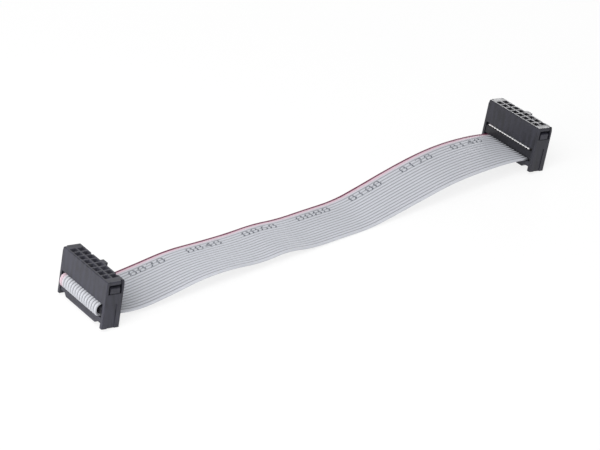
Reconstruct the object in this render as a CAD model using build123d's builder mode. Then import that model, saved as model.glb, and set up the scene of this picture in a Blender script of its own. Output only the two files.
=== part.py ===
# Flat ribbon lead: sixteen ways side by side, with a two-row pin socket pressed onto each end.
# Both sockets stand on the same surface and lean the same way, as the ribbon's stiffness holds them.
# Each socket is drawn upright about its own origin, at the middle of its feet, and then set on its seat.
import math
import os

from build123d import *

os.makedirs("parts", exist_ok=True)

# Ribbon: round ways joined by thin webs, drawn as ridges on the free run and flat in the folds
way_count = 16
way_pitch = 1.27
ribbon_thickness = 0.9
ribbon_web = 0.45
fold_overhang = 1.45
flat_start = 1.0
slit_clearance = 0.02

# Pin field: alternate ways go to two rows
row_count = 2
column_count = way_count // row_count
pin_pitch = row_count * way_pitch

# Socket body: a block of pin cells with an end post at each end that reaches down to the feet
body_height = 7.3
body_depth = 5.9
end_margin = 3.56
corner_radius = 0.35
rim_chamfer = 0.2
post_thickness = 1.15
mouth_width = 2.0
mouth_depth = 1.0
pin_hole_width = 1.0
cell_width = 1.7
cell_roof = 1.2
key_width = 2.3
key_depth = 1.0
key_height = 5.5
rim_notch_width = 1.4
rim_notch_depth = 0.6
rim_notch_height = 0.8
rim_notch_far = 5.6
rim_notch_near = 8.0
window_width = 4.4
window_height = 3.0
window_drop = 4.0
guide_slit_width = 0.55
guide_slit_depth = 1.0
guide_slant_width = 0.6
guide_slant_height = 2.0
sink_width = 2.4
sink_height = 7.6
sink_depth = 0.2
cut_overrun = 1.0

# Cover: the bar that presses the ribbon onto the contacts, with a round nose inside the fold
cover_thickness = 2.75
cover_entry_inset = 0.2
cover_nose_gap = 0.4
cover_nose_radius = 1.15
cover_clearance = 0.1
cover_face_gap = 0.05
comb_gap = 0.2
ribbon_seat_gap = 0.03
tine_groove_clearance = 0.15

# Strain relief: a bar under the ribbon with a hooked arm at each end
bar_thickness = 2.65
bar_depth = 5.3
bar_foot_gap = 0.3
bar_step_height = 1.0
bar_step_inset = 3.1
bar_step_slope = 0.9
arm_thickness = 0.8
arm_width = 3.2
arm_clearance = 0.1
hook_reach = 1.2
hook_land = 1.7
hook_slope = 0.6

# Contact: a flat blade with a spring fork for the pin above and a piercing fork for its way below
blade_thickness = 0.35
spring_base_height = 0.8
spring_root_width = 0.4
spring_tip_width = 0.3
spring_tip_gap = 0.5
spring_top_gap = 0.3
cell_clearance = 0.05
shank_height = 0.9
tine_width = 0.3
tine_gap = 0.3
tine_reach = 0.7
blade_clearance = 0.05

# Stance: each socket leans about the lower edge of its feet on the key's side
foot_spacing = 157.0
lean_a = 11.0
lean_b = 12.5
lead_a = 7.0
lead_b = 6.0

# The ribbon's free run between the sockets, as (along, up) points chosen by hand
free_route = [
    (-47.5, 3.95),
    (2.5, 0.55),
    (15.0, 0.55),
    (48.0, 6.8),
]
arc_share = 0.45

# Sizes that follow from the ones above
ribbon_width = way_count * way_pitch
body_length = (column_count - 1) * pin_pitch + 2 * end_margin
post_gap = body_length - 2 * post_thickness
bar_top = bar_foot_gap + bar_thickness
lower_layer = bar_top + ribbon_thickness / 2
cover_base = lower_layer + ribbon_thickness / 2
cover_top = cover_base + cover_thickness
upper_layer = cover_top + ribbon_thickness / 2
body_base = upper_layer + ribbon_thickness / 2
socket_top = body_base + body_height
window_base = socket_top - window_drop
slot_thickness = arm_thickness + 2 * arm_clearance
slot_width = arm_width + 2 * arm_clearance
slot_middle = post_gap / 2 - slot_thickness / 2
fork_width = 2 * tine_width + tine_gap
fold_reach = body_depth / 2 + fold_overhang - ribbon_thickness / 2
guide_slit_place = (window_width - guide_slit_width) / 2
contact_width = cell_width - 2 * cell_clearance
mouth_slope = (mouth_width - pin_hole_width) / 2


def way_place(way):
    """Where a way lies across the ribbon; the striped way, number 0, is furthest along +Y."""
    return ribbon_width / 2 - (way + 1 / 2) * way_pitch


def row_place(way):
    """Which row of pins serves a way: the key's row serves the first."""
    return pin_pitch / 2 if way % row_count == 0 else -pin_pitch / 2


def ridge_line(level, side, gap):
    """Points across one face of a ribbon layer, at a gap from it: a ridge on each way, a valley between."""
    valley = level + side * (ribbon_web / 2 + gap)
    ridge = level + side * (ribbon_thickness / 2 + gap)
    points = [(-ribbon_width / 2, valley)]
    for way in reversed(range(way_count)):
        points.append((way_place(way), ridge))
        points.append((way_place(way) + way_pitch / 2, valley))
    return points


def socket_seat(foot_edge, lean):
    """The plane of a socket's feet when it leans onto the lower edge of its feet at foot_edge."""
    tilt = math.radians(lean)
    along = Vector(math.cos(tilt), 0, -math.sin(tilt))
    up = Vector(math.sin(tilt), 0, math.cos(tilt))
    return Plane(origin=Vector(foot_edge, 0, 0) - along * (body_depth / 2), x_dir=along, z_dir=up)


def route_point(seat, along, up):
    """A point of a socket's own side view, in the ribbon's (along, up) terms."""
    place = seat.from_local_coords(Vector(along, 0, up))
    return (place.X, place.Z)


def widest_arcs(points):
    """A radius for each corner of a route, as large as its two runs leave room for."""
    radii = []
    for before, corner, after in zip(points, points[1:], points[2:]):
        run_in = Vector(*corner) - Vector(*before)
        run_out = Vector(*after) - Vector(*corner)
        half_turn = math.radians(run_in.get_angle(run_out)) / 2
        radii.append(arc_share * min(run_in.length, run_out.length) / math.tan(half_turn))
    return radii


# The overall length is centred between the fold of one socket and the key of the other
fold_middle = (lower_layer + upper_layer) / 2
reach_back = (body_depth + fold_overhang) * math.cos(math.radians(lean_a))
reach_back = reach_back - fold_middle * math.sin(math.radians(lean_a))
reach_ahead = key_depth * math.cos(math.radians(lean_b)) + socket_top * math.sin(math.radians(lean_b))
foot_edge_a = (reach_back - reach_ahead - foot_spacing) / 2
foot_edge_b = foot_edge_a + foot_spacing
seats = {"a": socket_seat(foot_edge_a, lean_a), "b": socket_seat(foot_edge_b, lean_b)}

# Socket body
with BuildPart() as socket_body:
    with BuildSketch():
        RectangleRounded(body_depth, body_length, corner_radius)
    extrude(amount=socket_top)
    chamfer(faces().sort_by(Axis.Z)[-1].edges(), rim_chamfer)
    # The polarising key on one long side
    with BuildSketch(Plane.XY.offset(socket_top)):
        with Locations(((body_depth + key_depth - rim_chamfer) / 2, 0)):
            Rectangle(key_depth + rim_chamfer, key_width)
    extrude(amount=-key_height)
    # The gap between the end posts, which takes the ribbon, the cover and the strain relief
    with BuildSketch(Plane.YZ):
        with Locations((0, (body_base - cut_overrun) / 2)):
            Rectangle(post_gap, body_base + cut_overrun)
    extrude(amount=body_depth, both=True, mode=Mode.SUBTRACT)
    # Notches in the rim on the key's side
    with BuildSketch(Plane.XY.offset(socket_top)):
        with Locations((body_depth / 2, rim_notch_far), (body_depth / 2, -rim_notch_near)):
            Rectangle(2 * rim_notch_depth, rim_notch_width)
    extrude(amount=-rim_notch_height, mode=Mode.SUBTRACT)
    # A cell for each contact, open below, with a flared mouth for the pin above
    with BuildSketch(Plane.XY.offset(body_base)):
        with GridLocations(pin_pitch, pin_pitch, row_count, column_count):
            Rectangle(cell_width, cell_width)
    extrude(amount=body_height - cell_roof, mode=Mode.SUBTRACT)
    with BuildSketch(Plane.XY.offset(socket_top)):
        with GridLocations(pin_pitch, pin_pitch, row_count, column_count):
            Rectangle(pin_hole_width, pin_hole_width)
    extrude(amount=-cell_roof, mode=Mode.SUBTRACT)
    with Locations((0, 0, socket_top - mouth_depth / 2)):
        with GridLocations(pin_pitch, pin_pitch, row_count, column_count):
            Wedge(
                mouth_width,
                mouth_depth,
                mouth_width,
                mouth_slope,
                mouth_slope,
                mouth_slope + pin_hole_width,
                mouth_slope + pin_hole_width,
                rotation=(-90, 0, 0),
                mode=Mode.SUBTRACT,
            )
    # Slits beside the cells for the shanks that step across to the ways
    with BuildSketch(Plane.XY.offset(body_base)):
        with Locations([(row_place(way), way_place(way)) for way in range(way_count)]):
            Rectangle(blade_thickness + 2 * blade_clearance, fork_width + 2 * blade_clearance)
    extrude(amount=shank_height, mode=Mode.SUBTRACT)
    # Slots for the strain relief's arms, and the windows where its hooks catch
    with BuildSketch(Plane.XY.offset(body_base)):
        with Locations((0, slot_middle), (0, -slot_middle)):
            Rectangle(slot_width, slot_thickness)
    extrude(amount=window_base + window_height - body_base, mode=Mode.SUBTRACT)
    with BuildSketch(Plane.XY.offset(window_base)):
        with Locations((0, body_length / 2), (0, -body_length / 2)):
            Rectangle(window_width, 2 * post_thickness)
    extrude(amount=window_height, mode=Mode.SUBTRACT)
    # A guide slit runs up from one side of each window, and the wall outside it slants in at the top
    with BuildSketch(Plane.XY.offset(window_base)):
        with Locations((guide_slit_place, -body_length / 2), (-guide_slit_place, body_length / 2)):
            Rectangle(guide_slit_width, 2 * guide_slit_depth)
    extrude(amount=window_drop, mode=Mode.SUBTRACT)
    for side in (1, -1):
        with BuildSketch(Plane.YZ.offset(side * window_width / 2)):
            with BuildLine():
                Polyline(
                    (-side * body_length / 2, socket_top - guide_slant_height),
                    (-side * (body_length / 2 - guide_slant_width), socket_top),
                    (-side * body_length / 2, socket_top),
                    close=True,
                )
            make_face()
        extrude(amount=side * body_depth, mode=Mode.SUBTRACT)
    # The shallow sink that runs up the outside of each post from its foot
    with BuildSketch():
        with Locations((0, body_length / 2), (0, -body_length / 2)):
            Rectangle(sink_width, 2 * sink_depth)
    extrude(amount=sink_height, mode=Mode.SUBTRACT)

# Cover: a plain bar with a round nose, and under it a comb that holds the ways as they come in
cover_end = post_gap / 2 - cover_clearance
cover_entry = body_depth / 2 - cover_entry_inset
cover_nose = fold_reach - ribbon_thickness / 2 - cover_nose_gap
comb_start = comb_gap - flat_start
comb_line = ridge_line(lower_layer, 1, ribbon_seat_gap)
comb_root = lower_layer + ribbon_thickness
with BuildPart() as cable_cover:
    with BuildSketch(Plane.XZ):
        with Locations(((cover_entry - cover_nose) / 2, (cover_base + cover_top) / 2)):
            Rectangle(cover_entry + cover_nose, cover_thickness - 2 * cover_face_gap)
        fillet(vertices().group_by(Axis.X)[0], cover_nose_radius)
    extrude(amount=cover_end, both=True)
    with BuildSketch(Plane.YZ.offset(comb_start)):
        with BuildLine():
            Polyline(
                *comb_line,
                (ribbon_width / 2, comb_root),
                (-ribbon_width / 2, comb_root),
                close=True,
            )
        make_face()
    extrude(amount=cover_entry - comb_start)
    # Grooves that take the tips of the piercing tines
    with BuildSketch(Plane.XY.offset(upper_layer)):
        with GridLocations(pin_pitch, 0, row_count, 1):
            Rectangle(blade_thickness + 2 * tine_groove_clearance, ribbon_width)
    extrude(amount=cover_top - tine_reach - tine_groove_clearance - upper_layer, mode=Mode.SUBTRACT)
    # End notches that the strain relief's arms pass through
    with BuildSketch(Plane.XY.offset(lower_layer)):
        with Locations((0, slot_middle), (0, -slot_middle)):
            Rectangle(slot_width, slot_thickness)
    extrude(amount=upper_layer - lower_layer, mode=Mode.SUBTRACT)

# Strain relief
bar_end = post_gap / 2 - arm_clearance
bar_face = bar_top - ribbon_seat_gap
bar_step = bar_foot_gap + bar_step_height
bar_step_start = bar_end - bar_step_inset
arm_inside = bar_end - arm_thickness
hook_base = window_base + arm_clearance
hook_tip = bar_end + hook_reach
with BuildPart() as strain_relief:
    with BuildSketch(Plane.YZ):
        with BuildLine():
            Polyline(
                (0, bar_face),
                (bar_end, bar_face),
                (bar_end, bar_step),
                (bar_step_start + bar_step_slope, bar_step),
                (bar_step_start, bar_foot_gap),
                (0, bar_foot_gap),
            )
            mirror(about=Plane.YZ)
        make_face()
    extrude(amount=bar_depth / 2, both=True)
    with BuildSketch(Plane.YZ):
        with BuildLine():
            Polyline(
                (arm_inside, bar_step),
                (bar_end, bar_step),
                (bar_end, hook_base),
                (hook_tip, hook_base),
                (hook_tip, hook_base + hook_land),
                (bar_end, hook_base + hook_land + hook_slope),
                (arm_inside, hook_base + hook_land + hook_slope),
                close=True,
            )
        make_face()
        mirror(about=Plane.YZ)
    extrude(amount=arm_width / 2, both=True)

# Contact: drawn about its pin's axis, with its way on the +Y side
shank_top = body_base + shank_height
spring_root = shank_top + spring_base_height
spring_top = socket_top - cell_roof - spring_top_gap
tine_tip = cover_top - tine_reach
with BuildPart() as contact:
    with BuildSketch(Plane.YZ):
        with Locations((0, (shank_top + spring_root) / 2)):
            Rectangle(contact_width, spring_base_height)
        with BuildLine():
            Polyline(
                (contact_width / 2, spring_root),
                (spring_tip_gap / 2 + spring_tip_width, spring_top),
                (spring_tip_gap / 2, spring_top),
                (contact_width / 2 - spring_root_width, spring_root),
                close=True,
            )
        leaf = make_face()
        mirror(leaf, about=Plane.YZ)
        with Locations((way_pitch / 2, (tine_tip + shank_top) / 2)):
            Rectangle(fork_width, shank_top - tine_tip)
        with Locations((way_pitch / 2, (tine_tip + body_base) / 2)):
            Rectangle(tine_gap, body_base - tine_tip, mode=Mode.SUBTRACT)
    extrude(amount=blade_thickness / 2, both=True)

# Ribbon: a ridged free run, with each end folded back on itself in its socket and cut off there
free_run = [
    route_point(seats["a"], -flat_start, lower_layer),
    route_point(seats["a"], body_depth / 2 + lead_a, lower_layer),
    *free_route,
    route_point(seats["b"], -body_depth / 2 - lead_b, lower_layer),
    route_point(seats["b"], flat_start, lower_layer),
]
folds = []
for seat, side in ((seats["a"], -1), (seats["b"], 1)):
    folds.append(
        [
            route_point(seat, side * flat_start, lower_layer),
            route_point(seat, side * fold_reach, lower_layer),
            route_point(seat, side * fold_reach, upper_layer),
            route_point(seat, -side * body_depth / 2, upper_layer),
        ]
    )
ridged_outline = ridge_line(0, 1, 0) + ridge_line(0, -1, 0)[::-1]
flat_outline = [
    (-ribbon_width / 2, ribbon_thickness / 2),
    (ribbon_width / 2, ribbon_thickness / 2),
    (ribbon_width / 2, -ribbon_thickness / 2),
    (-ribbon_width / 2, -ribbon_thickness / 2),
]
ribbon_length = 0
section_volume = 0
with BuildPart() as ribbon_cable:
    for run, outline in ((free_run, ridged_outline), (folds[0], flat_outline), (folds[1], flat_outline)):
        with BuildLine(Plane.XZ) as run_path:
            FilletPolyline(*run, radius=widest_arcs(run))
        run_start = Plane(origin=run_path.line @ 0, x_dir=(0, 1, 0), z_dir=run_path.line % 0)
        with BuildSketch(run_start) as run_section:
            with BuildLine():
                Polyline(*outline, close=True)
            make_face()
        sweep(path=run_path.line)
        run_length = run_path.wire().length
        ribbon_length += run_length
        section_volume += run_section.sketch.area * run_length
    swept_volume = ribbon_cable.part.volume
    # The slits that the tines have pierced on either side of each way
    for seat in seats.values():
        with BuildSketch(seat.offset(cover_top - tine_reach)):
            for way in range(way_count):
                with Locations((row_place(way), way_place(way))):
                    with GridLocations(0, tine_width + tine_gap, 1, 2):
                        Rectangle(blade_thickness + 2 * slit_clearance, tine_width + 2 * slit_clearance)
    extrude(amount=tine_reach + ribbon_thickness, mode=Mode.SUBTRACT)

print("route", [(round(along, 2), round(up, 2)) for along, up in free_run], "radii", widest_arcs(free_run))
print("ribbon length", round(ribbon_length, 2))
print("volume", round(swept_volume, 2), "section by length", round(section_volume, 2))

# Write every piece where it stands
ribbon_cable.part.label = "ribbon_cable"
export_step(ribbon_cable.part, "parts/ribbon_cable.step")
pieces = {"socket_body": socket_body, "cable_cover": cable_cover, "strain_relief": strain_relief}
nose_turns = {"a": 0, "b": 180}
for side, seat in seats.items():
    for name, piece in pieces.items():
        turn = nose_turns[side] if name == "cable_cover" else 0
        placed = piece.part.moved(seat.location * Location((0, 0, 0), (0, 0, turn)))
        placed.label = f"{name}_{side}"
        export_step(placed, f"parts/{placed.label}.step")
    for way in range(way_count):
        turn = 0 if way % row_count == 0 else 180
        column_place = (way_place(way - way % row_count) + way_place(way - way % row_count + 1)) / 2
        pin_axis = Location((row_place(way), column_place, 0), (0, 0, turn))
        placed = contact.part.moved(seat.location * pin_axis)
        placed.label = f"contact_{side}_{way + 1:02d}"
        export_step(placed, f"parts/{placed.label}.step")
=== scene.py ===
import math

import bmesh
import bpy
from bpy.props import FloatProperty, FloatVectorProperty, IntProperty, PointerProperty
from mathutils import Matrix, Vector


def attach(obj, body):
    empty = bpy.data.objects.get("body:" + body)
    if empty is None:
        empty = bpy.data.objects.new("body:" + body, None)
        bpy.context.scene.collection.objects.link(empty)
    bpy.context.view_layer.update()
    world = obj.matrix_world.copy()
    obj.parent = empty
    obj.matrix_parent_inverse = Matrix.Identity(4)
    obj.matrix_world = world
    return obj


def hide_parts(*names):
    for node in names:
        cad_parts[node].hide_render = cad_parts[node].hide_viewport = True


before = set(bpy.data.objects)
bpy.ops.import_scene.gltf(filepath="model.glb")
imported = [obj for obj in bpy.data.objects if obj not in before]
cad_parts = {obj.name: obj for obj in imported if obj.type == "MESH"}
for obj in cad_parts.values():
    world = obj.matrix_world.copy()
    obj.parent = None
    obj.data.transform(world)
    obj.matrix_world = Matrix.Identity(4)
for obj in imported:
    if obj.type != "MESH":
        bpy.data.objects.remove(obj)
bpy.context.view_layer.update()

bl_info = {
    "name": "Ribbon lead",
    "version": (1, 0, 0),
    "blender": (4, 5, 0),
    "location": "View3D > Sidebar > Ribbon lead",
    "description": "Dresses a flat ribbon lead with a pin socket on each end",
    "category": "Object",
}

# The ribbon's route from cut end to cut end, as (along, up) in metres.
# Each end lies in its socket, folds round the cover and comes out below it.
FOLD_A = [
    (-0.07614, 0.00692),
    (-0.07933, 0.00754),
    (-0.08291, 0.00824),
    (-0.08361, 0.00465),
    (-0.08002, 0.00396),
]
FREE_RUN = [
    (-0.06996, 0.00170),
    (-0.05800, 0.00265),
    (-0.04750, 0.00385),
    (-0.03700, 0.00329),
    (-0.02650, 0.00211),
    (-0.01700, 0.00250),
    (-0.00800, 0.00080),
    (0.00250, 0.00068),
    (0.01300, 0.00031),
    (0.02200, 0.00186),
    (0.03300, 0.00404),
    (0.04500, 0.00611),
    (0.05600, 0.00664),
    (0.06864, 0.00590),
]
# How far the striped edge stands above the other edge at each point of the free run
EDGE_RISE = [0.0007, 0.0003, -0.0004, -0.0012, -0.0001, -0.0008, 0.0, 0.0, 0.0, 0.0003, 0.0008, 0.0009, 0.0012, 0.0005]
FOLD_B = [
    (0.07767, 0.00389),
    (0.08123, 0.00310),
    (0.08202, 0.00667),
    (0.07846, 0.00746),
    (0.07529, 0.00816),
]
RIBBON_EXIT = (-0.07683, 0.0, 0.00334)

WAYS = 16
WAY_PITCH = 0.00127
RIBBON_WIDTH = WAYS * WAY_PITCH

SOCKET_SIDES = ("a", "b")
PIN_PITCH = 2 * WAY_PITCH
DOT_PITCH = 0.00042
# The middle of each socket's pin face, as (along, up, lean), and how strongly painted shade darkens its openings
# inside
PIN_FACES = {
    "a": (-0.07755, 0.01509, math.radians(11.0), 0.15),
    "b": (0.07984, 0.01509, math.radians(12.5), 1.0),
}
# Painted light: one plastic is painted lighter on socket a and darker on socket b, for how the light falls on each
PAINTED_LIGHT_TONES = {"a": 1.2, "b": 0.85}
# Where the ribbon goes in under the cover of socket b
RIBBON_ENTRY = 0.0750
# Where the fold of each end shows outside its socket
RIBBON_FOLDS = (-0.0815, 0.0800)


def linear(red, green, blue):
    """A screen colour, 0 to 255, as the linear colour that a shader takes."""
    shares = [channel / 255 for channel in (red, green, blue)]
    return tuple(s / 12.92 if s <= 0.04045 else ((s + 0.055) / 1.055) ** 2.4 for s in shares)


class RibbonSettings(bpy.types.PropertyGroup):
    """Sizes and colours of the ribbon."""

    thickness: FloatProperty(
        name="Thickness", description="Over the round of a way", default=0.0009, unit="LENGTH", precision=5
    )
    web: FloatProperty(
        name="Web", description="Thickness between two ways", default=0.00040, unit="LENGTH", precision=5
    )
    sheared: FloatVectorProperty(
        name="Sheared share", description="What the shears leave of the upper and the under side at a cut end",
        default=(0.75, 0.2), size=2, min=0.0, max=1.0,
    )
    arc_steps: IntProperty(name="Arc steps", description="Facets over the round of a way", default=7, min=3)
    skin: FloatVectorProperty(
        name="Skin", description="Colour of the insulation", subtype="COLOR", size=3, default=linear(200, 202, 209)
    )
    stripe: FloatVectorProperty(
        name="Stripe", description="Colour of the inked first way", subtype="COLOR", size=3, default=linear(98, 20, 58)
    )
    blush: FloatVectorProperty(
        name="Blush", description="Thin ink beside the stripe", subtype="COLOR", size=3, default=linear(215, 189, 200)
    )
    ink: FloatVectorProperty(
        name="Marks", description="Colour of the length marks", subtype="COLOR", size=3, default=linear(78, 82, 92)
    )
    mark_height: FloatProperty(
        name="Mark height", description="Height of the figures", default=0.0031, unit="LENGTH", precision=5
    )
    mark_stretch: FloatProperty(
        name="Mark stretch", description="How much wider the figures are than plain type", default=1.35, min=0.1
    )
    mark_spacing: FloatProperty(
        name="Mark spacing", description="From one figure to the next", default=0.02, unit="LENGTH", precision=4
    )
    mark_place: FloatProperty(
        name="Mark place", description="From the middle of the ribbon to the marks", default=0.0058,
        unit="LENGTH", precision=5,
    )


class SocketSettings(bpy.types.PropertyGroup):
    """Sizes and colours of the sockets."""

    plastic: FloatVectorProperty(
        name="Plastic", description="Colour of the mouldings", subtype="COLOR", size=3, default=linear(45, 45, 54)
    )
    roughness: FloatProperty(
        name="Roughness", description="Roughness of the mouldings", default=0.46, min=0.0, max=1.0, subtype="FACTOR"
    )
    edge_round: FloatProperty(
        name="Edge round", description="Width of the rounding on edges", default=0.00009, unit="LENGTH", precision=6
    )
    plating: FloatVectorProperty(
        name="Plating", description="Colour of the contacts", subtype="COLOR", size=3, default=(0.80, 0.62, 0.33)
    )


class StageSettings(bpy.types.PropertyGroup):
    """The floor, the lights and the camera."""

    floor: FloatVectorProperty(
        name="Floor", description="Colour of the floor", subtype="COLOR", size=3, default=(0.92, 0.92, 0.92)
    )
    sky: FloatProperty(name="Sky", description="Strength of the light all round", default=0.5, min=0.0)
    key: FloatProperty(name="Key", description="Power of the main lamp", default=4.1, min=0.0, unit="POWER")
    side: FloatProperty(name="Side", description="Power of the side lamp", default=0.40, min=0.0, unit="POWER")
    card: FloatProperty(name="Card", description="Power of the bright card behind", default=2.3, min=0.0, unit="POWER")
    lens: FloatProperty(
        name="Lens", description="Focal length of the camera in millimetres", default=141.05, min=1.0
    )
    azimuth: FloatProperty(
        name="Azimuth", description="Turn of the camera from the front", default=math.radians(-35.13), subtype="ANGLE"
    )
    elevation: FloatProperty(
        name="Elevation", description="Height of the camera", default=math.radians(30.73), subtype="ANGLE"
    )
    distance: FloatProperty(
        name="Distance", description="From the camera to what it looks at", default=0.7, unit="LENGTH"
    )
    target: FloatVectorProperty(
        name="Target", description="What the camera looks at", subtype="TRANSLATION", unit="LENGTH", size=3,
        default=(-0.0109, -0.0071, 0.00826),
    )


class LeadSettings(bpy.types.PropertyGroup):
    """Everything that can be changed about the lead."""

    ribbon: PointerProperty(type=RibbonSettings)
    socket: PointerProperty(type=SocketSettings)
    stage: PointerProperty(type=StageSettings)


class Signal:
    """An output socket that can be used in Python sums; each sum adds a Math node."""

    def __init__(self, finish, socket):
        self.finish = finish
        self.socket = socket

    def sum(self, operation, first, second):
        return self.finish.node("ShaderNodeMath", {"operation": operation}, {0: first, 1: second})

    def __add__(self, other):
        return self.sum("ADD", self, other)

    def __radd__(self, other):
        return self.sum("ADD", other, self)

    def __sub__(self, other):
        return self.sum("SUBTRACT", self, other)

    def __rsub__(self, other):
        return self.sum("SUBTRACT", other, self)

    def __mul__(self, other):
        return self.sum("MULTIPLY", self, other)

    def __rmul__(self, other):
        return self.sum("MULTIPLY", other, self)

    def __truediv__(self, other):
        return self.sum("DIVIDE", self, other)


class Finish:
    """A material built from nodes, with one shader on its output."""

    def __init__(self, name):
        self.material = bpy.data.materials.new(name)
        self.material.use_nodes = True
        self.tree = self.material.node_tree
        self.shader = self.tree.nodes["Principled BSDF"]

    def node(self, kind, settings=None, inputs=None, output=0):
        """Any node: its settings are set first, then its sockets get values or links."""
        made = self.tree.nodes.new(kind)
        for name, value in (settings or {}).items():
            if name == "stops":
                ramp = made.color_ramp.elements
                while len(ramp) < len(value):
                    ramp.new(1.0)
                for stop, (place, colour) in zip(ramp, value):
                    stop.position = place
                    stop.color = (*colour, 1.0)
            else:
                setattr(made, name, value)
        for name, value in (inputs or {}).items():
            self.feed(made.inputs[name], value)
        return Signal(self, made.outputs[output])

    def feed(self, socket, value):
        if isinstance(value, Signal):
            self.tree.links.new(value.socket, socket)
        else:
            socket.default_value = value

    def set(self, **values):
        """Values and links for the shader's own sockets; an underscore stands for a space."""
        for name, value in values.items():
            self.feed(self.shader.inputs[name.replace("_", " ")], value)

    def place(self, stretch=(1.0, 1.0, 1.0)):
        """The piece's own coordinates, in metres, stretched along its axes."""
        own = self.node("ShaderNodeTexCoord", output="Object")
        return self.node("ShaderNodeMapping", {"vector_type": "POINT"}, {"Vector": own, "Scale": stretch})

    def axis(self, place, letter):
        return self.node("ShaderNodeSeparateXYZ", None, {"Vector": place}, output=letter)

    def noise(self, place, size, detail=2.0, rough=0.5):
        """Soft noise whose blotches are about one size across, from 0 to 1."""
        sockets = {"Vector": place, "Scale": 1.0 / size, "Detail": detail, "Roughness": rough}
        return self.node("ShaderNodeTexNoise", None, sockets, output="Fac")

    def fade(self, value, low, high):
        """From 0 at low to 1 at high, smoothly."""
        sockets = {"Value": value, "From Min": low, "From Max": high}
        return self.node("ShaderNodeMapRange", {"interpolation_type": "SMOOTHSTEP"}, sockets)

    def blend(self, factor, first, second):
        """From one colour to another."""
        sockets = {0: factor, 6: first, 7: second}
        return self.node("ShaderNodeMix", {"data_type": "RGBA"}, sockets, output=2)

    def size_of(self, value):
        return self.node("ShaderNodeMath", {"operation": "ABSOLUTE"}, {0: value})

    def wave(self, value, length):
        """A cosine along a value, from 1 to -1 and back over one length."""
        return self.node("ShaderNodeMath", {"operation": "COSINE"}, {0: value * (2 * math.pi / length)})

    def relief(self, height, depth, strength=1.0):
        """A bump of a given depth in metres."""
        return self.node("ShaderNodeBump", None, {"Height": height, "Distance": depth, "Strength": strength})


def rgba(colour, scale=1.0):
    return (*[channel * scale for channel in colour], 1.0)


def ribbon_skin(ribbon):
    """Satin insulation with an inked edge; painted shade between the ways, where they go in under the cover of socket
    b and round the folds.
    """
    finish = Finish("ribbon_skin")
    place = finish.place()
    across = finish.axis(place, "Y")
    cloud = finish.noise(place, 0.012, 3.0)
    drawn = finish.noise(finish.place((0.02, 1.0, 1.0)), 0.00022, 2.0)
    ways = finish.wave(across, WAY_PITCH)
    # Painted shade in the grooves between the ways, fading out beyond the last groove
    painted_valley_shade = finish.fade(ways, 0.1, 1.0) * finish.fade(finish.size_of(across), 0.0098, 0.0095)
    grey = finish.blend(cloud, rgba(ribbon.skin, 0.96), rgba(ribbon.skin, 1.04))
    grey = finish.blend(painted_valley_shade * 0.85, grey, rgba(ribbon.skin, 0.42))
    smear = finish.noise(finish.place((0.05, 1.0, 1.0)), 0.0006, 2.0)
    upper = finish.node("ShaderNodeAttribute", {"attribute_name": "upper"}, None, output="Fac")
    thin = finish.fade(across + smear * 0.0004, 0.0079, 0.0091)
    solid = finish.fade(across + smear * 0.0002, 0.0092, 0.0094) * finish.fade(upper, 0.3, 0.5)
    colour = finish.blend(thin, grey, rgba(ribbon.blush))
    colour = finish.blend(solid, colour, rgba(ribbon.stripe))
    # Painted shadow between the ways where they go in under the cover of socket b, and painted shade round the folds
    along = finish.axis(place, "X")
    entry = finish.fade(along + ways * 0.0009, RIBBON_ENTRY - 0.0020, RIBBON_ENTRY)
    entry = entry * finish.fade(along, RIBBON_FOLDS[1], RIBBON_FOLDS[1] - 0.0015)
    folds = finish.fade(along, RIBBON_FOLDS[0] + 0.0015, RIBBON_FOLDS[0])
    folds = folds + finish.fade(along, RIBBON_FOLDS[1] - 0.0015, RIBBON_FOLDS[1])
    painted_shade = entry * 0.8 + folds * (0.20 + 0.20 * finish.fade(ways, -0.5, 1.0))
    colour = finish.blend(painted_shade, colour, rgba(ribbon.skin, 0.1))
    finish.set(
        Base_Color=colour,
        Roughness=0.40 + 0.10 * cloud,
        Normal=finish.relief(drawn, 0.000003),
    )
    return finish.material


def cut_insulation(ribbon):
    """The sheared end of the ribbon: paler and rougher than its skin."""
    finish = Finish("cut_insulation")
    place = finish.place()
    torn = finish.noise(place, 0.00012, 3.0)
    finish.set(
        Base_Color=finish.blend(torn, rgba(linear(226, 226, 228)), rgba(linear(246, 246, 247))),
        Roughness=0.6 + 0.2 * torn,
        Normal=finish.relief(torn, 0.00003),
    )
    return finish.material


def mark_ink(ribbon):
    """Thin printed ink that lets the insulation through here and there."""
    finish = Finish("mark_ink")
    place = finish.place()
    dots = finish.wave(finish.axis(place, "X"), DOT_PITCH) + finish.wave(finish.axis(place, "Y"), DOT_PITCH)
    worn = finish.fade(finish.noise(place, 0.0004, 2.0) * 1.2 - dots * 0.25, 0.45, 0.95)
    finish.set(
        Base_Color=finish.blend(worn, rgba(ribbon.ink), rgba(ribbon.skin, 0.8)),
        Roughness=0.45 + 0.15 * worn,
    )
    return finish.material


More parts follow.
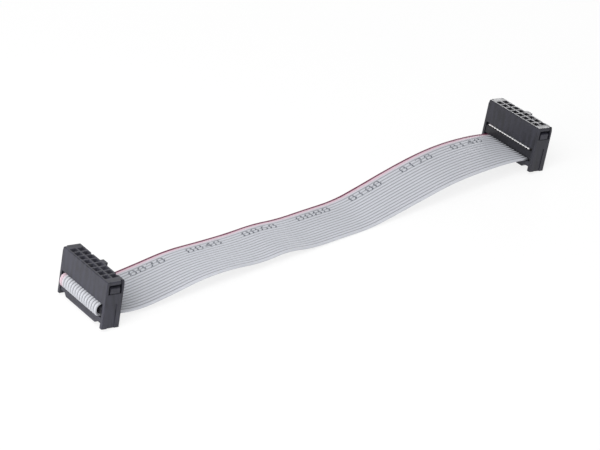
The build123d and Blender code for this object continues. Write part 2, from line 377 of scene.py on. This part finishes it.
def moulded_plastic(socket, name, tone, stretch, pin_face=None):
    """Satin black moulding: a fine spark-worn grain, faint flow lines and slightly uneven gloss; on a pin face,
    painted shade over the cell walls and inside the openings.
    """
    finish = Finish(name)
    place = finish.place()
    across = finish.axis(place, "Y")
    cloud = finish.noise(place, 0.006, 3.0)
    flow = finish.noise(finish.place(stretch), 0.0011, 2.0)
    grain = finish.noise(place, 0.00010, 2.0, 0.6)
    mix = cloud * 0.4 + flow * 0.6
    if pin_face:
        # Painted shade: faint bands at the cell pitch stand for the shading of shallow sinks over the walls between
        # the cells
        mix = mix + finish.wave(across, PIN_PITCH) * 0.06
    patch = finish.fade(mix, 0.3, 0.7)
    colour = finish.blend(patch, rgba(socket.plastic, 0.65 * tone), rgba(socket.plastic, 1.35 * tone))
    if pin_face:
        # Painted shade darkens the pin openings inside
        face_along, face_up, lean, dark = pin_face
        from_middle = finish.axis(place, "X") - face_along
        above = finish.axis(place, "Z") - face_up
        depth = from_middle * math.sin(lean) + above * math.cos(lean)
        aside = from_middle * math.cos(lean) - above * math.sin(lean)
        half_field = 4 * PIN_PITCH
        within = finish.fade(finish.size_of(aside), 0.0025, 0.0023) * finish.fade(
            finish.size_of(across), half_field, half_field - 0.0002
        )
        inside = finish.fade(depth, -0.00003, -0.0005) * within
        colour = finish.blend(inside * dark, colour, rgba(socket.plastic, 0.1))
    finish.set(
        Base_Color=colour,
        Roughness=socket.roughness - 0.10 + 0.12 * patch + 0.08 * grain,
        Normal=finish.relief(grain, 0.000006, 0.8),
        Specular_IOR_Level=0.42,
    )
    return finish.material


def plated_metal(name, colour, roughness):
    """Plated spring metal with fine marks along its length from rolling."""
    finish = Finish(name)
    rolled = finish.noise(finish.place((1.0, 1.0, 0.04)), 0.00008, 2.0)
    cloud = finish.noise(finish.place(), 0.0012, 2.0)
    finish.set(
        Base_Color=finish.blend(cloud, rgba(colour, 0.85), rgba(colour, 1.1)),
        Metallic=1.0,
        Roughness=roughness + 0.16 * rolled,
        Normal=finish.relief(rolled, 0.000004),
    )
    return finish.material


def show(name, bm, *materials):
    """A new piece from a bmesh, at the origin."""
    mesh = bpy.data.meshes.new(name)
    bm.to_mesh(mesh)
    bm.free()
    for material in materials:
        mesh.materials.append(material)
    piece = bpy.data.objects.new(name, mesh)
    bpy.context.scene.collection.objects.link(piece)
    return piece


def smooth_line(route):
    """Points read from the smooth curve that a route of (along, up) points draws."""
    curve = bpy.data.curves.new("route", "CURVE")
    curve.dimensions = "3D"
    curve.resolution_u = 10
    spline = curve.splines.new("NURBS")
    spline.points.add(len(route) - 1)
    for point, (along, up) in zip(spline.points, route):
        point.co = (along, 0.0, up, 1.0)
    spline.order_u = 3
    spline.use_endpoint_u = True
    holder = bpy.data.objects.new("route", curve)
    drawn = bpy.data.meshes.new_from_object(holder)
    line = [vertex.co.copy() for vertex in drawn.vertices]
    bpy.data.objects.remove(holder)
    bpy.data.curves.remove(curve)
    bpy.data.meshes.remove(drawn)
    return line


def ribbon_line():
    """Points along the ribbon's middle, from cut end to cut end."""
    return smooth_line(FOLD_A + FREE_RUN + FOLD_B)


def stations(line):
    """A frame at each point of the line: X across the ribbon, Y out of its face, Z along it."""
    rises = [0.0] * len(FOLD_A) + EDGE_RISE + [0.0] * len(FOLD_B)
    places = [along for along, up in FOLD_A + FREE_RUN + FOLD_B]
    tips = [point.z for point in smooth_line(list(zip(places, rises)))]
    frames = []
    for index, (point, tip) in enumerate(zip(line, tips)):
        before = line[max(index - 1, 0)]
        after = line[min(index + 1, len(line) - 1)]
        along = (after - before).normalized()
        out = along.cross(Vector((0.0, RIBBON_WIDTH, tip))).normalized()
        turn = Matrix((out.cross(along), out, along)).transposed().to_4x4()
        frames.append(Matrix.Translation(point) @ turn)
    return frames


def section_height(ribbon, across):
    """Height of the ribbon's face above its middle at a place across it."""
    radius = ribbon.thickness / 2
    from_way = (across / WAY_PITCH) % 1.0 - 0.5
    rise = radius**2 - (from_way * WAY_PITCH) ** 2
    return max(ribbon.web / 2, math.sqrt(max(rise, 0.0)))


def draw_section(bm, ribbon):
    """The closed outline across the ribbon: an arc over each way, a web between, and the same below.

    The first way is slit flush; the last keeps half a web beyond it.
    """
    radius = ribbon.thickness / 2
    lift = math.asin(ribbon.web / ribbon.thickness)
    edge = RIBBON_WIDTH / 2
    first_rim = edge - WAY_PITCH / 2 + radius

    def line_to(tip, place):
        made = bmesh.ops.extrude_vert_indiv(bm, verts=[tip])
        made["verts"][0].co = place
        return made["verts"][0]

    start = bm.verts.new((first_rim, ribbon.web / 4, 0.0))
    tip = start
    for side in (1, -1):
        for way in range(WAYS):
            middle = Vector((side * (edge - (way + 0.5) * WAY_PITCH), 0.0, 0.0))
            foot = Vector((math.cos(lift), math.sin(lift), 0.0)) * radius * side
            tip = line_to(tip, middle + foot)
            arc = bmesh.ops.spin(
                bm, geom=[tip], cent=middle, axis=(0.0, 0.0, 1.0), angle=math.pi - 2 * lift, steps=ribbon.arc_steps
            )
            tip = [part for part in arc["geom_last"] if isinstance(part, bmesh.types.BMVert)][0]
        if side == 1:
            tip = line_to(tip, Vector((-edge, ribbon.web / 4, 0.0)))
            tip = line_to(tip, Vector((-edge, -ribbon.web / 4, 0.0)))
        else:
            tip = line_to(tip, Vector((first_rim, -ribbon.web / 4, 0.0)))
    bmesh.ops.contextual_create(bm, geom=[tip, start])


class RIBBON_OT_sweep(bpy.types.Operator):
    """Sweep the ribbon's ridged section along its route, from cut end to cut end"""

    bl_idname = "ribbon_lead.sweep_ribbon"
    bl_label = "Ribbon"

    def execute(self, context):
        ribbon = context.scene.ribbon_lead.ribbon
        line = ribbon_line()
        frames = stations(line)
        bm = bmesh.new()
        draw_section(bm, ribbon)
        upper = bm.verts.layers.float.new("upper")
        for vertex in bm.verts:
            vertex[upper] = vertex.co.y / ribbon.thickness + 0.5
        bmesh.ops.transform(bm, matrix=frames[0], verts=bm.verts[:])
        ring = bm.edges[:]
        first_ring = ring
        for before, after in zip(frames, frames[1:]):
            made = bmesh.ops.extrude_edge_only(bm, edges=ring)["geom"]
            fresh = {part for part in made if isinstance(part, bmesh.types.BMVert)}
            bmesh.ops.transform(bm, matrix=after @ before.inverted(), verts=list(fresh))
            edges = [part for part in made if isinstance(part, bmesh.types.BMEdge)]
            ring = [edge for edge in edges if fresh.issuperset(edge.verts)]
        for face in bm.faces:
            face.smooth = True
        for end, frame_here in ((first_ring, frames[0]), (ring, frames[-1])):
            ends = {vertex for edge in end for vertex in edge.verts}
            under = {vertex for vertex in ends if vertex[upper] < 0.5}
            for verts, share in zip((ends - under, under), ribbon.sheared):
                bmesh.ops.scale(bm, vec=(1.0, share, 1.0), space=frame_here.inverted(), verts=list(verts))
            caps = bmesh.ops.edgeloop_fill(bm, edges=end, mat_nr=1, use_smooth=False)["faces"]
            bmesh.ops.triangulate(bm, faces=caps)
            for edge in end:
                edge.smooth = False
        bmesh.ops.recalc_face_normals(bm, faces=bm.faces[:])
        piece = show("ribbon", bm, ribbon_skin(ribbon), cut_insulation(ribbon))
        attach(piece, "root")
        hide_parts("ribbon_cable")
        return {"FINISHED"}


class RIBBON_OT_strands(bpy.types.Operator):
    """Set the sheared copper strands of every way into the ribbon's two cut ends"""

    bl_idname = "ribbon_lead.set_strands"
    bl_label = "Strand ends"

    strand: FloatProperty(name="Strand", description="Radius of one strand", default=0.000062, unit="LENGTH")
    proud: FloatProperty(name="Proud", description="How far the strands stand out", default=0.00001, unit="LENGTH")

    def execute(self, context):
        frames = stations(ribbon_line())
        bm = bmesh.new()
        for frame_here, outward in ((frames[0], -1), (frames[-1], 1)):
            for way in range(WAYS):
                middle = RIBBON_WIDTH / 2 - (way + 0.5) * WAY_PITCH
                for place in range(7):
                    angle = place * math.pi / 3
                    ring = 0.0 if place == 6 else 2 * self.strand
                    rise = 2 * self.strand + ring * math.sin(angle)
                    spot = (middle + ring * math.cos(angle), rise, outward * self.proud / 2)
                    bmesh.ops.create_cone(
                        bm,
                        cap_ends=True,
                        segments=8,
                        radius1=self.strand * (0.85 if outward < 0 else 1.0),
                        radius2=self.strand * (1.0 if outward < 0 else 0.85),
                        depth=self.proud * 3,
                        matrix=frame_here @ Matrix.Translation(spot),
                    )
        piece = show("strand_ends", bm, plated_metal("tinned_copper", (0.80, 0.74, 0.66), 0.34))
        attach(piece, "root")
        return {"FINISHED"}


class RIBBON_OT_marks(bpy.types.Operator):
    """Print plain length marks along the ribbon, beside its striped edge"""

    bl_idname = "ribbon_lead.print_marks"
    bl_label = "Length marks"

    def execute(self, context):
        ribbon = context.scene.ribbon_lead.ribbon
        line = ribbon_line()
        frames = stations(line)
        run = [0.0]
        for before, after in zip(line, line[1:]):
            run.append(run[-1] + (after - before).length)
        first = next(index for index, point in enumerate(line) if point.z < 0.0035 and point.x > RIBBON_EXIT[0])
        bm = bmesh.new()
        figures = int((run[-1] - 2 * run[first]) / ribbon.mark_spacing)
        for count in range(1, figures + 1):
            middle = count * ribbon.mark_spacing
            writing = bpy.data.curves.new("mark", "FONT")
            writing.body = f"{round(middle * 1000):04d}"
            writing.size = ribbon.mark_height * 1.35
            writing.space_character = 1.15
            writing.align_x = "CENTER"
            writing.align_y = "CENTER"
            holder = bpy.data.objects.new("mark", writing)
            drawn = bpy.data.meshes.new_from_object(holder)
            wide = Matrix.Diagonal((ribbon.mark_stretch, 1.0, 1.0, 1.0))
            drawn.transform(Matrix.Translation((middle, 0.0, 0.0)) @ wide)
            bm.from_mesh(drawn)
            bpy.data.objects.remove(holder)
            bpy.data.curves.remove(writing)
            bpy.data.meshes.remove(drawn)
        # Cut fine enough to follow the ridges and the bends, then laid on the ribbon
        half = ribbon.mark_height * 0.7
        slices = 42
        levels = [half * (2 * cut / slices - 1) for cut in range(1, slices)]
        cuts = [((0.0, level, 0.0), (0.0, 1.0, 0.0)) for level in levels]
        cuts += [((length - run[first], 0.0, 0.0), (1.0, 0.0, 0.0)) for length in run]
        for place, facing in cuts:
            whole = bm.verts[:] + bm.edges[:] + bm.faces[:]
            bmesh.ops.bisect_plane(bm, geom=whole, dist=0.000001, plane_co=place, plane_no=facing)
        bmesh.ops.remove_doubles(bm, verts=bm.verts[:], dist=0.000003)
        bmesh.ops.dissolve_degenerate(bm, dist=0.000003, edges=bm.edges[:])
        bmesh.ops.triangulate(bm, faces=bm.faces[:])
        ink_lift = 0.000006
        for vertex in bm.verts:
            reach = run[first] + vertex.co.x
            index = max(1, next((i for i, length in enumerate(run) if length > reach), len(run) - 1))
            share = (reach - run[index - 1]) / (run[index] - run[index - 1])
            across = ribbon.mark_place + vertex.co.y
            rise = section_height(ribbon, across) + ink_lift
            low = frames[index - 1] @ Vector((across, rise, 0.0))
            high = frames[index] @ Vector((across, rise, 0.0))
            vertex.co = low.lerp(high, share)
        piece = show("length_marks", bm, mark_ink(ribbon))
        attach(piece, "root")
        return {"FINISHED"}


def rounded_copy(node, name, width):
    """A copy of a CAD node with its facets merged and its edges slightly rounded."""
    bm = bmesh.new()
    bm.from_mesh(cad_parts[node].data)
    bmesh.ops.remove_doubles(bm, verts=bm.verts[:], dist=0.000002)
    bmesh.ops.recalc_face_normals(bm, faces=bm.faces[:])
    bmesh.ops.dissolve_limit(
        bm, angle_limit=math.radians(0.5), use_dissolve_boundaries=False, verts=bm.verts[:], edges=bm.edges[:]
    )
    edges = [edge for edge in bm.edges if edge.is_manifold and edge.calc_face_angle() > math.radians(28)]
    bmesh.ops.bevel(
        bm,
        geom=edges,
        offset=width,
        offset_type="OFFSET",
        segments=2,
        profile=0.5,
        affect="EDGES",
        clamp_overlap=True,
        material=-1,
    )
    bmesh.ops.dissolve_degenerate(bm, dist=0.0000005, edges=bm.edges[:])
    for face in bm.faces:
        face.smooth = True
        face.material_index = 0
    piece = show(name, bm)
    even = piece.modifiers.new("even_shading", "WEIGHTED_NORMAL")
    even.keep_sharp = True
    return piece


class RIBBON_OT_sockets(bpy.types.Operator):
    """Dress the two socket bodies in satin black plastic with rounded edges"""

    bl_idname = "ribbon_lead.dress_sockets"
    bl_label = "Sockets"

    def execute(self, context):
        socket = context.scene.ribbon_lead.socket
        for side in SOCKET_SIDES:
            upright = (1.0, 1.0, 0.12)
            plastic = moulded_plastic(
                socket, f"socket_plastic_{side}", PAINTED_LIGHT_TONES[side], upright, PIN_FACES[side]
            )
            piece = rounded_copy(f"socket_body_{side}", f"socket_{side}", socket.edge_round)
            piece.data.materials.append(plastic)
            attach(piece, "root")
            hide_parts(f"socket_body_{side}")
        return {"FINISHED"}


class RIBBON_OT_clamps(bpy.types.Operator):
    """Dress the covers, painted darker as shade, and the strain reliefs, painted paler as light, in the same plastic
    """

    bl_idname = "ribbon_lead.dress_clamps"
    bl_label = "Covers and strain reliefs"

    def execute(self, context):
        socket = context.scene.ribbon_lead.socket
        # Painted light: copies of one plastic, the covers painted dark for shade and the strain reliefs pale for light
        cover = moulded_plastic(socket, "cover_plastic_painted_shade", 0.4, (1.0, 0.15, 1.0))
        relief = moulded_plastic(socket, "relief_plastic_painted_light", 1.2, (1.0, 0.15, 1.0))
        for side in SOCKET_SIDES:
            for node, slot, plastic in (("cable_cover", "cover", cover), ("strain_relief", "relief", relief)):
                piece = rounded_copy(f"{node}_{side}", f"{slot}_{side}", socket.edge_round)
                piece.data.materials.append(plastic)
                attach(piece, "root")
                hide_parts(f"{node}_{side}")
        return {"FINISHED"}


class RIBBON_OT_contacts(bpy.types.Operator):
    """Give the contacts inside the sockets their plated finish"""

    bl_idname = "ribbon_lead.plate_contacts"
    bl_label = "Contacts"

    def execute(self, context):
        socket = context.scene.ribbon_lead.socket
        plating = plated_metal("contact_plating", tuple(socket.plating), 0.26)
        for name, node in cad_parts.items():
            if name.startswith("contact_"):
                node.data.materials.clear()
                node.data.materials.append(plating)
        return {"FINISHED"}


class RIBBON_OT_stage(bpy.types.Operator):
    """Set the pale floor, the soft lights and the camera"""

    bl_idname = "ribbon_lead.set_stage"
    bl_label = "Stage"

    def execute(self, context):
        stage = context.scene.ribbon_lead.stage
        bm = bmesh.new()
        lower = Matrix.Translation((0.0, 0.0, -0.00001))
        bmesh.ops.create_grid(bm, x_segments=2, y_segments=2, size=3.0, matrix=lower)
        paper = Finish("floor_paper")
        fibre = paper.noise(paper.place(), 0.002, 3.0)
        paper.set(
            Base_Color=paper.blend(fibre, rgba(stage.floor, 0.99), rgba(stage.floor, 1.01)),
            Roughness=0.9,
            Specular_IOR_Level=0.0,
        )
        rays = paper.tree.nodes.new("ShaderNodeLightPath").outputs
        seen = Signal(paper, rays["Is Camera Ray"]) + Signal(paper, rays["Is Glossy Ray"])
        seen = seen + Signal(paper, rays["Is Transmission Ray"])
        glow = paper.node("ShaderNodeEmission", None, {"Color": (1.0, 1.0, 1.0, 1.0), "Strength": 1.02})
        own = Signal(paper, paper.shader.outputs[0])
        both = paper.node("ShaderNodeMixShader", None, {0: seen * 0.8, 1: own, 2: glow})
        paper.tree.links.new(both.socket, paper.tree.nodes["Material Output"].inputs["Surface"])
        floor = show("floor", bm, paper.material)

        world = bpy.data.worlds.new("studio")
        world.use_nodes = True
        nodes, links = world.node_tree.nodes, world.node_tree.links
        rays = nodes.new("ShaderNodeLightPath").outputs
        strength = nodes.new("ShaderNodeMapRange")
        strength.inputs["To Min"].default_value = stage.sky
        strength.inputs["To Max"].default_value = 1.0
        links.new(rays["Is Camera Ray"], strength.inputs["Value"])
        links.new(strength.outputs["Result"], nodes["Background"].inputs["Strength"])
        nodes["Background"].inputs["Color"].default_value = (1.0, 1.0, 1.0, 1.0)
        context.scene.world = world

        middle = Vector(stage.target)
        for name, place, size, power in (
            ("key_lamp", (-0.42, -0.22, 0.70), 0.6, stage.key),
            ("side_lamp", (-0.30, 0.02, 0.11), 0.2, stage.side),
            ("back_card", (0.72, 0.60, 0.17), 0.36, stage.card),
        ):
            lamp = bpy.data.lights.new(name, "AREA")
            lamp.shape = "DISK"
            lamp.size = size
            lamp.energy = power
            holder = bpy.data.objects.new(name, lamp)
            holder.location = middle + Vector(place)
            holder.rotation_euler = (-Vector(place)).to_track_quat("-Z", "Y").to_euler()
            context.scene.collection.objects.link(holder)

        camera = bpy.data.cameras.new("camera")
        camera.sensor_fit = "HORIZONTAL"
        camera.sensor_width = 36.0
        camera.lens = stage.lens
        camera.clip_start = 0.01
        holder = bpy.data.objects.new("camera", camera)
        level = math.cos(stage.elevation)
        back = Vector(
            (math.sin(stage.azimuth) * level, -math.cos(stage.azimuth) * level, math.sin(stage.elevation))
        )
        holder.location = middle + back * stage.distance
        holder.rotation_euler = (-back).to_track_quat("-Z", "Y").to_euler()
        context.scene.collection.objects.link(holder)
        context.scene.camera = holder
        context.scene.view_settings.view_transform = "Standard"
        return {"FINISHED"}


class RIBBON_PT_lead(bpy.types.Panel):
    """The lead's pieces and what can be changed about them"""

    bl_label = "Ribbon lead"
    bl_idname = "RIBBON_PT_lead"
    bl_space_type = "VIEW_3D"
    bl_region_type = "UI"
    bl_category = "Ribbon lead"

    def draw(self, context):
        lead = context.scene.ribbon_lead
        for group in (lead.ribbon, lead.socket, lead.stage):
            box = self.layout.box()
            for name in group.__annotations__:
                box.prop(group, name)
        for operator in OPERATORS:
            self.layout.operator(operator.bl_idname)


OPERATORS = (
    RIBBON_OT_sweep,
    RIBBON_OT_strands,
    RIBBON_OT_marks,
    RIBBON_OT_sockets,
    RIBBON_OT_clamps,
    RIBBON_OT_contacts,
    RIBBON_OT_stage,
)
CLASSES = (RibbonSettings, SocketSettings, StageSettings, LeadSettings, *OPERATORS, RIBBON_PT_lead)


def register():
    for cls in CLASSES:
        bpy.utils.register_class(cls)
    bpy.types.Scene.ribbon_lead = PointerProperty(type=LeadSettings)


def unregister():
    del bpy.types.Scene.ribbon_lead
    for cls in reversed(CLASSES):
        bpy.utils.unregister_class(cls)


def main():
    register()
    bpy.ops.ribbon_lead.sweep_ribbon()
    bpy.ops.ribbon_lead.set_strands()
    bpy.ops.ribbon_lead.print_marks()
    bpy.ops.ribbon_lead.dress_sockets()
    bpy.ops.ribbon_lead.dress_clamps()
    bpy.ops.ribbon_lead.plate_contacts()
    bpy.ops.ribbon_lead.set_stage()


if __name__ == "__main__":
    main()
